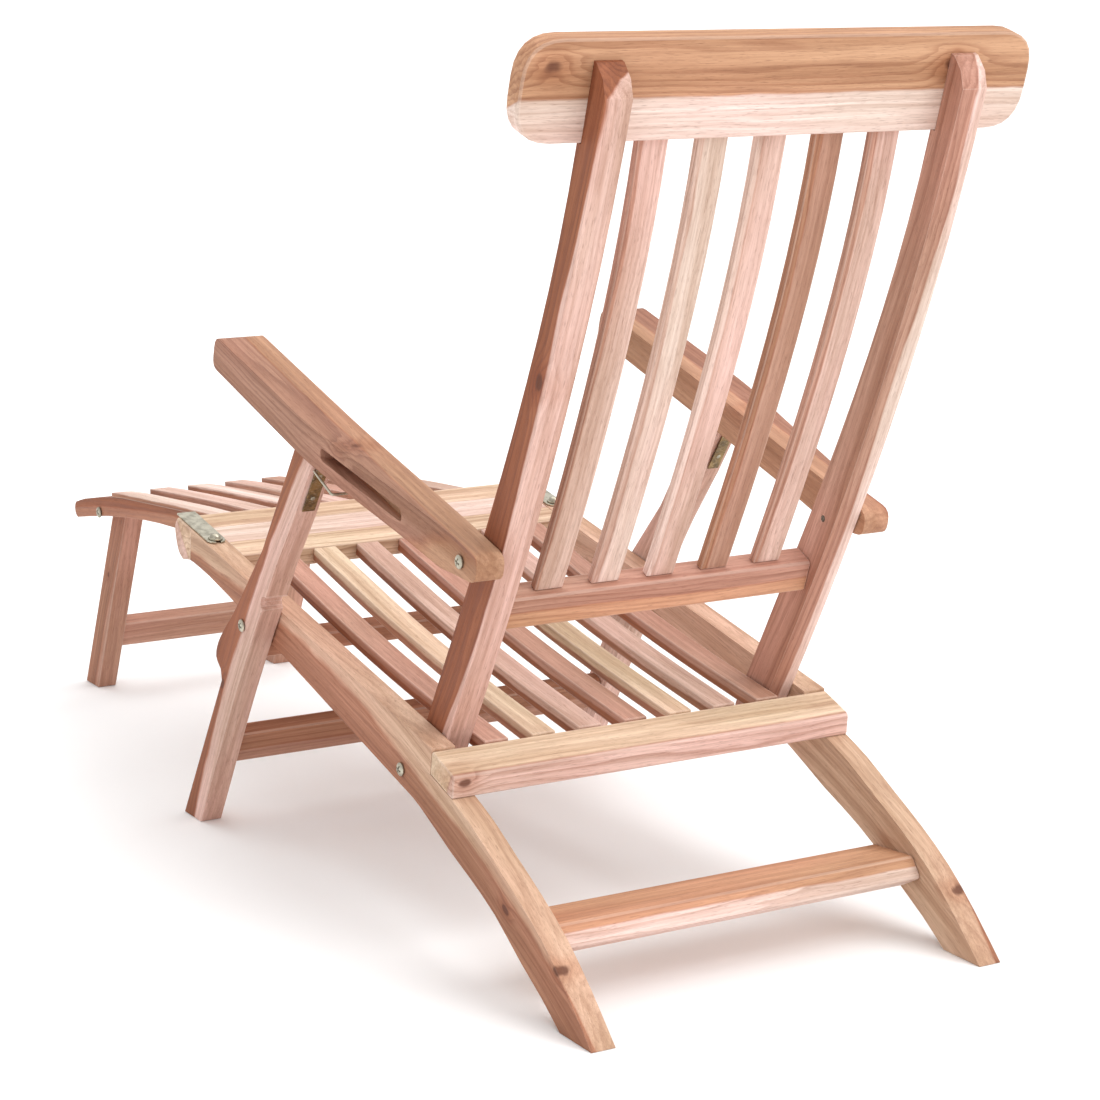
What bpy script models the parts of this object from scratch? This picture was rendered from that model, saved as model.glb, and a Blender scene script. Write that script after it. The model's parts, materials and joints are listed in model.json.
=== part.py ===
"""Folding deck chair in teak, with an adjustable back and a hook-on footrest.

+Z is up, +X is the sitter's left, -Y is the footrest end.  Metres.
Side profiles are drawn in the YZ plane as (y, z) stations and extruded along X.
"""
import math

import bmesh
import bpy
from mathutils import Vector

# ---------------------------------------------------------------- driving sizes
GAP = 0.0003                    # clearance kept between touching pieces

RAIL_IN, RAIL_OUT = 0.2225, 0.2500      # side rail and rear leg, one plank
STILE_IN, STILE_OUT = 0.1905, 0.2205    # back stile
LEG_IN, LEG_OUT = 0.2520, 0.2790        # front leg
FOOTRAIL_IN, FOOTRAIL_OUT = 0.1525, 0.1800
FOOTLEG_IN, FOOTLEG_OUT = 0.1240, 0.1510
HEAD_HALF = 0.2933                      # head rail half length

BACK_PIVOT = (0.3915, 0.1830)
ARM_PIVOT = (0.5311, 0.4350)
LEG_PIVOT = (0.0535, 0.2720)
FOOTLEG_PIVOT = (-0.6355, 0.2750)
HOOK_POINT = (-0.1185, 0.3358)          # screw that holds the footrest's strap

SEAT_FRONT_Y, SEAT_FRONT_Z = -0.1575, 0.3435
SEAT_SLOPE = -0.1970                    # fall of the seat rail towards the back
SEAT_END_Y = 0.4605                     # front edge of the rear cross rail

SEAT_SLATS, SEAT_PITCH, SEAT_SLAT_W, SEAT_SLAT_T = 7, 0.0575, 0.0290, 0.0160
SEAT_SAG = 0.0080
BACK_SLATS, BACK_PITCH, BACK_SLAT_W, BACK_SLAT_T = 5, 0.0680, 0.0335, 0.0095
FOOT_SLATS, FOOT_PITCH, FOOT_SLAT_W, FOOT_SLAT_T = 7, 0.0555, 0.0290, 0.0100

STILE_MID_Z = 0.600                     # height at which the stile cubics start
STILE_FRONT = (0.5930, 0.4855, -0.2631, -0.2804)
STILE_REAR = (0.6326, 0.4466, -0.2102, -0.0615)
STILE_FOOT_R = 0.0215
STILE_LEAN = math.radians(29.0)         # lean of the stile at its foot

HEAD_FOOT = (0.7035, 0.8600)            # rear lower edge of the head rail
HEAD_LEAN = math.radians(16.8)
HEAD_H, HEAD_T, HEAD_CORNER = 0.1003, 0.0230, 0.0400

SHANK_R = 0.0032
HOLE_R = 0.0037
BORE_OVERRUN = 0.010            # how far a bore runs past the outer faces
HEAD_R, HEAD_DOME = 0.0068, 0.0036

ARM_FRONT, ARM_REAR_Y = (0.0065, 0.6030), 0.5665
ARM_SLOPE = -0.2839
ARM_BOLT_FACE = 0.2545          # seat of the armrest bolt's head

TEAK = {
    "teak_brown": (0.36, 0.18, 0.10, 1.0),
    "teak_orange": (0.47, 0.25, 0.13, 1.0),
    "teak_pink": (0.66, 0.43, 0.34, 1.0),
    "teak_cream": (0.74, 0.58, 0.42, 1.0),
}
METAL = {
    "zinc_steel": (0.62, 0.60, 0.55, 1.0),
    "brass": (0.72, 0.53, 0.26, 1.0),
}


# ---------------------------------------------------------------- basics
def clear_scene():
    for obj in list(bpy.data.objects):
        bpy.data.objects.remove(obj, do_unlink=True)


def piece_material(name, tone):
    """One Principled material for each piece."""
    mat = bpy.data.materials.new(name)
    mat.use_nodes = True
    shader = mat.node_tree.nodes["Principled BSDF"]
    metal = tone in METAL
    shader.inputs["Base Color"].default_value = METAL[tone] if metal else TEAK[tone]
    shader.inputs["Metallic"].default_value = 1.0 if metal else 0.0
    shader.inputs["Roughness"].default_value = 0.35 if metal else 0.7
    return mat


def axis_empty(name, pivot, parent=None):
    """Empty on a joint's axis; pieces of the moving body hang from it."""
    empty = bpy.data.objects.new(name, None)
    bpy.context.collection.objects.link(empty)
    empty.location = (0.0, pivot[0], pivot[1])
    if parent:
        empty.parent = parent
        empty.location = Vector(empty.location) - world_of(parent)
    return empty


def world_of(obj):
    total = Vector((0.0, 0.0, 0.0))
    while obj:
        total += obj.location
        obj = obj.parent
    return total


def add_object(name, bm, tone, parent, smooth=False):
    """Closes the bmesh into a named object placed under its body's empty."""
    bmesh.ops.recalc_face_normals(bm, faces=bm.faces)
    mesh = bpy.data.meshes.new(name)
    base = world_of(parent)
    bmesh.ops.translate(bm, verts=bm.verts, vec=-base)
    bm.to_mesh(mesh)
    bm.free()
    if smooth:
        mesh.shade_smooth()
        mesh.set_sharp_from_angle(angle=math.radians(40.0))
    obj = bpy.data.objects.new(name, mesh)
    bpy.context.collection.objects.link(obj)
    obj.parent = parent
    mesh.materials.append(piece_material(name, tone))
    return obj


def extrude_x(outline, x0, x1):
    """Prism between x0 and x1 whose side profile is a list of (y, z)."""
    bm = bmesh.new()
    ring = [bm.verts.new((x0, y, z)) for y, z in outline]
    face = bm.faces.new(ring)
    grown = bmesh.ops.extrude_face_region(bm, geom=[face])
    moved = [v for v in grown["geom"] if isinstance(v, bmesh.types.BMVert)]
    bmesh.ops.translate(bm, verts=moved, vec=(x1 - x0, 0.0, 0.0))
    return bm


def extrude_dir(corners, direction):
    """Prism from a planar ring of 3-D corners along a direction."""
    bm = bmesh.new()
    face = bm.faces.new([bm.verts.new(c) for c in corners])
    grown = bmesh.ops.extrude_face_region(bm, geom=[face])
    moved = [v for v in grown["geom"] if isinstance(v, bmesh.types.BMVert)]
    bmesh.ops.translate(bm, verts=moved, vec=direction)
    return bm


def turned_x(profile, centre, x_out, side, segments=16):
    """Solid of revolution about an X axis; profile is (distance inward, radius)."""
    bm = bmesh.new()
    rings = []
    for inward, radius in profile:
        x = side * (x_out - inward)
        if radius == 0.0:
            rings.append([bm.verts.new((x, centre[0], centre[1]))])
            continue
        ring = []
        for i in range(segments):
            a = 2.0 * math.pi * i / segments
            y = centre[0] + radius * math.cos(a)
            z = centre[1] + radius * math.sin(a)
            ring.append(bm.verts.new((x, y, z)))
        rings.append(ring)
    for first, second in zip(rings, rings[1:]):
        for i in range(segments):
            j = (i + 1) % segments
            if len(first) == 1:
                bm.faces.new((first[0], second[i], second[j]))
            elif len(second) == 1:
                bm.faces.new((first[i], first[j], second[0]))
            else:
                bm.faces.new((first[i], first[j], second[j], second[i]))
    if len(rings[-1]) > 1:
        bm.faces.new(rings[-1])
    if len(rings[0]) > 1:
        bm.faces.new(rings[0])
    return bm


def cutter(name, bm):
    """Hidden tool body for a Boolean cut."""
    bmesh.ops.recalc_face_normals(bm, faces=bm.faces)
    mesh = bpy.data.meshes.new(name)
    bm.to_mesh(mesh)
    bm.free()
    obj = bpy.data.objects.new(name, mesh)
    bpy.context.collection.objects.link(obj)
    obj.hide_render = True
    obj.display_type = "WIRE"
    return obj


def boolean(obj, tool, operation="DIFFERENCE"):
    mod = obj.modifiers.new(operation.lower(), "BOOLEAN")
    mod.operation = operation
    mod.solver = "EXACT"
    mod.object = tool


def bore(name, targets, centre, x0, x1, radius=HOLE_R):
    """Drills one round hole along X through every target."""
    profile = [(0.0, radius), (abs(x1 - x0), radius)]
    side = 1.0 if x0 + x1 > 0.0 else -1.0
    outer = max(abs(x0), abs(x1))
    tool = cutter(name, turned_x(profile, centre, outer, side))
    for target in targets:
        boolean(target, tool)


# ---------------------------------------------------------------- curves
def line_z(y, y0, z0, slope):
    return z0 + slope * (y - y0)


def seat_line(y):
    return line_z(y, SEAT_FRONT_Y, SEAT_FRONT_Z, SEAT_SLOPE)


def smooth_path(points, steps=3):
    """Catmull-Rom curve through the stations, end points kept."""
    out = []
    pts = [points[0]] + list(points) + [points[-1]]
    for i in range(1, len(pts) - 2):
        p0, p1, p2, p3 = (Vector(p) for p in pts[i - 1:i + 3])
        for s in range(steps):
            t = s / steps
            q = 2.0 * p1 + (p2 - p0) * t
            q += (2.0 * p0 - 5.0 * p1 + 4.0 * p2 - p3) * t * t
            q += (3.0 * p1 - p0 - 3.0 * p2 + p3) * t * t * t
            out.append(tuple(0.5 * q))
    out.append(tuple(points[-1]))
    return out


def rounded(corners, radius, steps=4):
    """Polygon with every corner turned into an arc-like quadratic."""
    out = []
    count = len(corners)
    for i in range(count):
        here = Vector(corners[i])
        before = Vector(corners[i - 1])
        after = Vector(corners[(i + 1) % count])
        r = radius[i] if isinstance(radius, (list, tuple)) else radius
        if r <= 0.0:
            out.append(tuple(here))
            continue
        a = here + (before - here).normalized() * r
        b = here + (after - here).normalized() * r
        for s in range(steps + 1):
            t = s / steps
            q = a * (1.0 - t) ** 2 + here * 2.0 * t * (1.0 - t) + b * t * t
            out.append(tuple(q))
    return out


def arc(centre, radius, start, end, steps):
    """Points on a circle in the profile plane, angles in radians."""
    out = []
    for s in range(steps + 1):
        a = start + (end - start) * s / steps
        out.append((centre[0] + radius * math.cos(a), centre[1] + radius * math.sin(a)))
    return out


def cubic(coefficients, z):
    d = z - STILE_MID_Z
    c0, c1, c2, c3 = coefficients
    return c0 + c1 * d + c2 * d * d + c3 * d ** 3


def band(centre, lean, half_depth, half_height, radius):
    """Rounded rectangle whose long side leans back from vertical."""
    up = Vector((math.sin(lean), math.cos(lean)))
    out = Vector((-math.cos(lean), math.sin(lean)))
    mid = Vector(centre)
    corners = []
    for d, h in ((1, 1), (-1, 1), (-1, -1), (1, -1)):
        corners.append(tuple(mid + out * half_depth * d + up * half_height * h))
    return rounded(corners, radius, 2)


def slat_profile(top, thickness):
    """Closed profile of a slat from its top line, thickness square to the line."""
    under = []
    for i, point in enumerate(top):
        a = Vector(top[max(i - 1, 0)])
        b = Vector(top[min(i + 1, len(top) - 1)])
        along = (b - a).normalized()
        down = Vector((along.y, -along.x))
        if down.y > 0.0:
            down = -down
        under.append(tuple(Vector(point) + down * thickness))
    return list(top) + under[::-1]


def centres(count, pitch):
    return [(i - (count - 1) / 2.0) * pitch for i in range(count)]


# ---------------------------------------------------------------- seat frame
CROSS_TOP_REAR = (0.5068, 0.2036)
CROSS_LOW_REAR = (0.5045, 0.1785)
CROSS_LOW_FRONT = (0.4560, 0.1940)


def side_rail_outline():
    """Seat rail that runs on as the rear leg, with the rear cross rail's seat."""
    notch_top = (SEAT_END_Y - GAP, seat_line(SEAT_END_Y))
    notch_low = (CROSS_LOW_FRONT[0] - GAP, CROSS_LOW_FRONT[1] - GAP)
    notch_end = (CROSS_LOW_REAR[0] + GAP, CROSS_LOW_REAR[1] - GAP)
    leg_rear = smooth_path([notch_end, (0.5425, 0.1630), (0.5925, 0.1370),
                            (0.6425, 0.1110), (0.6925, 0.0800), (0.7375, 0.0430),
                            (0.7825, 0.0)], 2)
    under = smooth_path([(0.7225, 0.0), (0.6855, 0.0250), (0.6455, 0.0480),
                         (0.5925, 0.0820), (0.5425, 0.1050), (0.4995, 0.1220),
                         (0.4335, 0.1520), (0.3885, 0.1660), (0.2205, 0.2110),
                         (-0.0505, 0.2830), (-0.1325, 0.3010), (-0.1625, 0.3050)], 2)
    return [(SEAT_FRONT_Y, SEAT_FRONT_Z), notch_top, notch_low] + leg_rear + under


def build_seat(root):
    parts = {}
    for side, tag in ((1.0, "left"), (-1.0, "right")):
        bm = extrude_x(side_rail_outline(), side * RAIL_IN, side * RAIL_OUT)
        parts["side_rail_" + tag] = add_object("side_rail_" + tag, bm, "teak_cream", root)

    front_y = SEAT_FRONT_Y + GAP
    rear_y = -0.0675
    down = Vector((SEAT_SLOPE, -1.0)).normalized() * 0.0220
    plank = [(front_y, seat_line(front_y)), (rear_y, seat_line(rear_y)),
             (rear_y + down.x, seat_line(rear_y) + down.y),
             (front_y + down.x + 0.0040, seat_line(front_y) + down.y - 0.0008)]
    half = RAIL_IN - GAP
    add_object("front_cross_rail", extrude_x(plank, -half, half), "teak_pink", root)

    section = [(SEAT_END_Y, 0.2200), CROSS_TOP_REAR, CROSS_LOW_REAR, CROSS_LOW_FRONT]
    section = rounded(section, (0.0025, 0.0040, 0.0030, 0.0020), 2)
    add_object("rear_cross_rail", extrude_x(section, -RAIL_OUT, RAIL_OUT), "teak_cream", root)

    section = [(0.5955, 0.0820), (0.6655, 0.0880), (0.6805, 0.0670),
               (0.6495, 0.0500), (0.6075, 0.0600)]
    section = rounded(section, 0.0040, 2)
    add_object("rear_stretcher", extrude_x(section, -half, half), "teak_orange", root)

    y0, y1 = rear_y + 0.0006, SEAT_END_Y - 0.0008
    top = []
    for i in range(11):
        t = i / 10.0
        y = y0 + (y1 - y0) * t
        top.append((y, seat_line(y) - 0.0006 - SEAT_SAG * math.sin(math.pi * t)))
    profile = slat_profile(top, SEAT_SLAT_T)
    for i, x in enumerate(centres(SEAT_SLATS, SEAT_PITCH)):
        bm = extrude_x(profile, x - SEAT_SLAT_W / 2.0, x + SEAT_SLAT_W / 2.0)
        add_object("seat_slat_%d" % (i + 1), bm, "teak_brown", root)
    return parts


def strap_screw(name, side, root):
    """Round-head screw and washer standing on the rail, over the strap's slot."""
    x = side * 0.2360
    y, z = HOOK_POINT
    lean = math.atan(SEAT_SLOPE)
    base_gap = GAP
    profile = [(base_gap, 0.0023), (0.0031, 0.0023), (0.0031, 0.0088), (0.0047, 0.0088),
               (0.0047, 0.0066), (0.0066, 0.0062), (0.0084, 0.0046), (0.0093, 0.0022),
               (0.0095, 0.0)]
    bm = bmesh.new()
    segments = 16
    along = Vector((0.0, math.cos(lean), math.sin(lean)))
    up = Vector((0.0, -math.sin(lean), math.cos(lean)))
    origin = Vector((x, y, seat_line(y)))
    rings = []
    for height, radius in profile:
        if radius == 0.0:
            rings.append([bm.verts.new(origin + up * height)])
            continue
        ring = []
        for i in range(segments):
            a = 2.0 * math.pi * i / segments
            offset = Vector((radius * math.cos(a), 0.0, 0.0)) + along * radius * math.sin(a)
            ring.append(bm.verts.new(origin + up * height + offset))
        rings.append(ring)
    bm.faces.new(rings[0])
    for first, second in zip(rings, rings[1:]):
        for i in range(segments):
            j = (i + 1) % segments
            if len(second) == 1:
                bm.faces.new((first[i], first[j], second[0]))
            else:
                bm.faces.new((first[i], first[j], second[j], second[i]))
    return add_object(name, bm, "zinc_steel", root, smooth=True)


# ---------------------------------------------------------------- back frame
def head_axes():
    up = Vector((math.sin(HEAD_LEAN), math.cos(HEAD_LEAN)))
    out = Vector((-math.cos(HEAD_LEAN), math.sin(HEAD_LEAN)))
    return up, out


def stile_outline():
    """Curved stile with a round foot, and a shallow seat for the head rail."""
    up, out = head_axes()
    foot = Vector((0.3900, 0.1830))
    front = []
    z0, z1 = foot.y + STILE_FOOT_R * math.sin(STILE_LEAN), 0.8610
    for i in range(1, 15):
        z = z0 + (z1 - z0) * i / 14.0
        front.append((cubic(STILE_FRONT, z), z))
    seat_low = Vector(HEAD_FOOT) - out * GAP - up * 0.0006
    seat_high = Vector(HEAD_FOOT) - out * GAP + up * 0.0800
    tip = [tuple(seat_low), tuple(seat_high), (seat_high.x + 0.0045, seat_high.y - 0.0020),
           (0.7425, 0.9200)]
    rear = []
    top_z, low_z = 0.9020, foot.y - STILE_FOOT_R * math.sin(STILE_LEAN)
    for i in range(14):
        z = top_z + (low_z - top_z) * i / 14.0
        rear.append((cubic(STILE_REAR, z), z))
    across = math.pi - STILE_LEAN
    bottom = arc(foot, STILE_FOOT_R, across - math.pi, across - 2.0 * math.pi, 8)
    return front + tip + rear + bottom


def build_back(parent):
    parts = {}
    for side, tag in ((1.0, "left"), (-1.0, "right")):
        bm = extrude_x(stile_outline(), side * STILE_IN, side * STILE_OUT)
        name = "back_stile_" + tag
        parts[name] = add_object(name, bm, "teak_pink", parent)

    up, out = head_axes()
    low = Vector(HEAD_FOOT)
    flat = [(-HEAD_HALF, 0.0), (HEAD_HALF, 0.0), (HEAD_HALF, HEAD_H), (-HEAD_HALF, HEAD_H)]
    outline = rounded(flat, HEAD_CORNER, 6)
    ring = [(x, low.x + up.x * h, low.y + up.y * h) for x, h in outline]
    push = Vector((0.0, out.x, out.y)) * HEAD_T
    add_object("head_rail", extrude_dir(ring, push), "teak_orange", parent)

    half = STILE_IN - GAP
    section = [(0.5121, 0.3835), (0.4871, 0.3962), (0.4708, 0.3641), (0.5005, 0.3490)]
    section = rounded(section, 0.0030, 2)
    add_object("lower_back_rail", extrude_x(section, -half, half), "teak_orange", parent)

    z_low, z_high = 0.3905, 0.8627
    lower_shift, upper_shift = 0.0176, -0.0050
    face, rear = [], []
    for i in range(12):
        t = i / 11.0
        z = z_low + (z_high - z_low) * t
        y = cubic(STILE_FRONT, z) + lower_shift + (upper_shift - lower_shift) * t
        lean = STILE_LEAN + (HEAD_LEAN - STILE_LEAN) * t
        step = Vector((-math.cos(lean), math.sin(lean))) * BACK_SLAT_T / 2.0
        face.append((y + step.x, z + step.y))
        rear.append((y - step.x, z - step.y))
    profile = face + rear[::-1]
    for i, x in enumerate(centres(BACK_SLATS, BACK_PITCH)):
        bm = extrude_x(profile, x - BACK_SLAT_W / 2.0, x + BACK_SLAT_W / 2.0)
        add_object("back_slat_%d" % (i + 1), bm, "teak_pink", parent)
    return parts


# ---------------------------------------------------------------- armrests
def arm_profile():
    front_y, front_z = ARM_FRONT
    top_rear = (ARM_REAR_Y, line_z(ARM_REAR_Y, front_y, front_z, ARM_SLOPE))
    corners = [ARM_FRONT, top_rear, (0.5600, 0.4170), (0.4925, 0.4210),
               (0.4145, 0.4450), (0.2755, 0.4840), (-0.0035, 0.5660)]
    radius = (0.0150, 0.0140, 0.0110, 0.0100, 0.0100, 0.0100, 0.0120)
    return rounded(corners, radius, 4)


def build_armrest(side, tag, parent):
    bm = extrude_x(arm_profile(), side * 0.2200, side * 0.2900)
    obj = add_object("armrest_" + tag, bm, "teak_orange", parent)
    plan = [(0.2300, -0.0100), (0.2850, -0.0100), (0.2850, 0.2425), (0.2540, 0.5100),
            (0.2540, 0.5800), (0.2222, 0.5800), (0.2222, 0.5000), (0.2300, 0.2600)]
    plan = rounded(plan, (0.0, 0.0, 0.0300, 0.0100, 0.0, 0.0, 0.0300, 0.0300), 4)
    ring = [(side * x, y, 0.3800) for x, y in plan]
    tool = cutter("plan_tool_" + tag, extrude_dir(ring, (0.0, 0.0, 0.2500)))
    boolean(obj, tool, "INTERSECT")

    slot_y0, slot_y1, slot_half, slot_drop = 0.2700, 0.4225, 0.0070, 0.0215
    front_y, front_z = ARM_FRONT
    z0 = line_z(slot_y0, front_y, front_z, ARM_SLOPE) - slot_drop
    z1 = line_z(slot_y1, front_y, front_z, ARM_SLOPE) - slot_drop
    corners = [(slot_y0, z0 + slot_half), (slot_y1, z1 + slot_half),
               (slot_y1, z1 - slot_half), (slot_y0, z0 - slot_half)]
    profile = rounded(corners, 0.0050, 3)
    bm = extrude_x(profile, side * 0.2560, side * 0.3000)
    boolean(obj, cutter("slot_tool_" + tag, bm))
    return obj


# ---------------------------------------------------------------- front legs
def front_leg_outline():
    front = smooth_path([(-0.1295, 0.0), (-0.0455, 0.1350), (-0.0095, 0.1930)], 2)
    hip = smooth_path([(-0.0120, 0.2060), (-0.0245, 0.2190), (-0.0170, 0.2380),
                       (0.0060, 0.2620), (0.0340, 0.2880), (0.1115, 0.3720)], 3)
    head = [(0.2025, 0.5045), (0.2445, 0.4922)]
    rear = smooth_path([(0.1965, 0.4250), (0.1455, 0.3590), (0.1175, 0.3180)], 2)
    bite = arc((0.1130, 0.3080), 0.0100, math.radians(60.0), math.radians(230.0), 6)
    low = smooth_path([(0.1010, 0.2945), (0.0575, 0.2300), (0.0015, 0.1410),
                       (-0.0815, 0.0)], 2)
    return front + hip + head + rear + bite + low


def build_front_legs(parent):
    parts = {}
    for side, tag in ((1.0, "left"), (-1.0, "right")):
        bm = extrude_x(front_leg_outline(), side * LEG_IN, side * LEG_OUT)
        name = "front_leg_" + tag
        parts[name] = add_object(name, bm, "teak_pink", parent)
    half = LEG_IN - GAP
    lean = math.radians(31.5)
    low = band((-0.0425, 0.1040), lean, 0.0100, 0.0240, 0.0040)
    add_object("front_leg_stretcher", extrude_x(low, -half, half), "teak_brown", parent)
    tilt = math.radians(75.0)
    top = band((0.0340, 0.2420), -tilt, 0.0120, 0.0140, 0.0060)
    add_object("under_seat_bar", extrude_x(top, -half, half), "teak_brown", parent)
    return parts


BAIL_WIRE_R = 0.0015


def build_catch(side, tag, parent):
    """Plate on the leg's rear face whose curled top holds the wire bail."""
    low, high = Vector((0.2028, 0.4320)), Vector((0.2405, 0.4862))
    along = (high - low).normalized()
    out = Vector((along.y, -along.x))
    t = 0.0016
    inner, outer = BAIL_WIRE_R + 0.0004, BAIL_WIRE_R + 0.0004 + t
    start = math.atan2(-out.y, -out.x)
    centre = high + out * (0.0006 + outer)
    outer_arc = arc(centre, outer, start, start - math.radians(250.0), 10)
    inner_arc = arc(centre, inner, start - math.radians(250.0), start, 10)
    base = low + out * 0.0006
    profile = [tuple(base)] + outer_arc + inner_arc + [tuple(base + out * t)]
    x0, x1 = side * 0.2580, side * 0.2730
    add_object("catch_plate_" + tag, extrude_x(profile, x0, x1), "brass", parent)
    return centre


def build_bail(side, tag, centre, parent):
    """Closed rectangular wire loop, its front bar in the catch plate's curl."""
    half_w, reach, corner = 0.0120, 0.0480, 0.0030
    droop = math.radians(-24.0)
    flat = [(-half_w, 0.0), (half_w, 0.0), (half_w, reach), (-half_w, reach)]
    route = rounded(flat, corner, 3)
    along = Vector((0.0, math.cos(droop), math.sin(droop)))
    across = Vector((1.0, 0.0, 0.0))
    normal = across.cross(along)
    mid = Vector((side * 0.2655, centre[0], centre[1]))
    pts = [mid + across * x + along * y for x, y in route]
    bm = bmesh.new()
    rings = []
    sides = 8
    count = len(pts)
    for i, point in enumerate(pts):
        tangent = (pts[(i + 1) % count] - pts[i - 1]).normalized()
        radial = tangent.cross(normal).normalized()
        ring = []
        for k in range(sides):
            a = 2.0 * math.pi * k / sides
            offset = radial * math.cos(a) + normal * math.sin(a)
            ring.append(bm.verts.new(point + offset * BAIL_WIRE_R))
        rings.append(ring)
    for i in range(count):
        first, second = rings[i], rings[(i + 1) % count]
        for k in range(sides):
            n = (k + 1) % sides
            bm.faces.new((first[k], first[n], second[n], second[k]))
    return add_object("wire_bail_" + tag, bm, "zinc_steel", parent, smooth=True)


# ---------------------------------------------------------------- footrest
def hook_rail_outline():
    """Rail across the footrest's rear end, its front rounded over."""
    rear = SEAT_FRONT_Y - GAP
    front = smooth_path([(-0.1990, seat_line(-0.1990)), (-0.2080, 0.3400),
                         (-0.2060, 0.3240), (-0.1985, 0.3090), (-0.1865, 0.3015)], 3)
    return [(rear, seat_line(rear))] + front + [(rear - 0.0050, 0.3050)]


def strap_outline():
    """Plan of the strap: (x offset, distance along), open slot at its end."""
    half, end, slot = 0.0118, 0.1000, 0.0030
    screw = 0.0890
    pts = [(-half, 0.0), (-half, end - 0.0080), (-half + 0.0030, end - 0.0020),
           (-half + 0.0070, end), (-slot, end)]
    for s in range(7):
        a = math.pi - math.pi * s / 6.0
        pts.append((slot * math.cos(a), screw - slot * math.sin(a)))
    mirrored = [(-x, y) for x, y in pts[:5]]
    return pts + mirrored[::-1]


def build_strap(side, tag, parent):
    lean = math.atan(SEAT_SLOPE)
    along = Vector((0.0, math.cos(lean), math.sin(lean)))
    up = Vector((0.0, -math.sin(lean), math.cos(lean)))
    start_y = HOOK_POINT[0] - 0.0890 * math.cos(lean)
    start = Vector((side * 0.2360, start_y, seat_line(start_y))) + up * 2.0 * GAP
    ring = [start + Vector((x, 0.0, 0.0)) + along * y for x, y in strap_outline()]
    bm = extrude_dir(ring, up * 0.0022)
    return add_object("strap_plate_" + tag, bm, "zinc_steel", parent)


FOOT_TOP = [(-0.5885, 0.3040), (-0.4895, 0.3140), (-0.4215, 0.3200),
            (-0.3235, 0.3280), (-0.2505, 0.3330), (-0.2000, 0.3365)]
FOOT_FRONT_Y, FOOT_REAR_Y = -0.7825, -0.7375    # footrest leg's foot
FOOTLEG_CROWN_R = 0.0200                # round top of the footrest leg
FOOT_CAP = 0.0060                       # outer slat above the rail


def build_footrest(parent):
    parts = {}
    shape = hook_rail_outline()
    hook = add_object("footrest_hook_rail", extrude_x(shape, -RAIL_OUT, RAIL_OUT),
                      "teak_pink", parent)
    parts["footrest_hook_rail"] = hook
    middle = Vector((-0.1830, 0.3240))
    grown = []
    for y, z in shape:
        away = (Vector((y, z)) - middle).normalized() * GAP
        grown.append((y + away.x, z + away.y))
    clearance = cutter("hook_rail_tool", extrude_x(grown, -RAIL_OUT, RAIL_OUT))

    rail_top = smooth_path([(-0.7195, 0.2760), (-0.6895, 0.2850)] + FOOT_TOP, 2)
    line = rail_top[4:]                 # the part under the outer slats
    rail_low = smooth_path([(-0.2000, 0.3085), (-0.3735, 0.3000), (-0.4775, 0.2920),
                            (-0.6055, 0.2750), (-0.7180, 0.2540)], 2)
    nose = arc((-0.7190, 0.2650), 0.0115, math.radians(262.0), math.radians(100.0), 6)
    for side, tag in ((1.0, "left"), (-1.0, "right")):
        bm = extrude_x(rail_top + rail_low + nose, side * FOOTRAIL_IN, side * FOOTRAIL_OUT)
        name = "footrest_rail_" + tag
        parts[name] = add_object(name, bm, "teak_brown", parent)
        boolean(parts[name], clearance)

    top = [(y, z + FOOT_CAP + GAP) for y, z in line]
    for i, x in enumerate(centres(FOOT_SLATS, FOOT_PITCH)):
        outer = i in (0, FOOT_SLATS - 1)
        if outer:
            profile = top + [(y, z + GAP) for y, z in line[::-1]]
        else:
            profile = slat_profile(top, FOOT_SLAT_T)
        bm = extrude_x(profile, x - FOOT_SLAT_W / 2.0, x + FOOT_SLAT_W / 2.0)
        slat = add_object("footrest_slat_%d" % (i + 1), bm, "teak_pink", parent)
        boolean(slat, clearance)

    half = FOOTRAIL_IN - GAP
    lean = math.radians(84.0)
    section = band((-0.5700, 0.2905), lean, 0.0090, 0.0170, 0.0030)
    add_object("footrest_front_rail", extrude_x(section, -half, half), "teak_brown", parent)
    return parts


def build_footrest_legs(parent):
    parts = {}
    top = Vector(FOOTLEG_PIVOT)
    foot_mid = Vector(((FOOT_FRONT_Y + FOOT_REAR_Y) / 2.0, 0.0))
    direction = (foot_mid - top).normalized()
    rear_side = Vector((-direction.y, direction.x))
    start = math.atan2(rear_side.y, rear_side.x)
    crown = arc(top, FOOTLEG_CROWN_R, start, start + math.pi, 8)
    outline = crown + [(FOOT_FRONT_Y, 0.0), (FOOT_REAR_Y, 0.0)]
    for side, tag in ((1.0, "left"), (-1.0, "right")):
        bm = extrude_x(outline, side * FOOTLEG_IN, side * FOOTLEG_OUT)
        name = "footrest_leg_" + tag
        parts[name] = add_object(name, bm, "teak_pink", parent)
    half = FOOTLEG_IN - GAP
    lean = math.radians(23.8)
    section = band((-0.7185, 0.0840), lean, 0.0120, 0.0200, 0.0040)
    add_object("footrest_leg_stretcher", extrude_x(section, -half, half), "teak_brown",
               parent)
    return parts


# ---------------------------------------------------------------- pivots
def pivot_bolt(name, centre, x_face, x_end, side, parent):
    """Dome-headed bolt: the head on the outer face, the shank going inward."""
    dome = []
    for s in range(4):
        a = math.radians(90.0) * s / 3.0
        inward = -(GAP + HEAD_DOME * math.cos(a))
        dome.append((inward, HEAD_R * math.sin(a) if s else 0.0))
    length = x_face - x_end
    profile = dome + [(-GAP, SHANK_R), (length, SHANK_R)]
    bm = turned_x(profile, centre, x_face, side, 14)
    return add_object(name, bm, "zinc_steel", parent, smooth=True)


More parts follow.
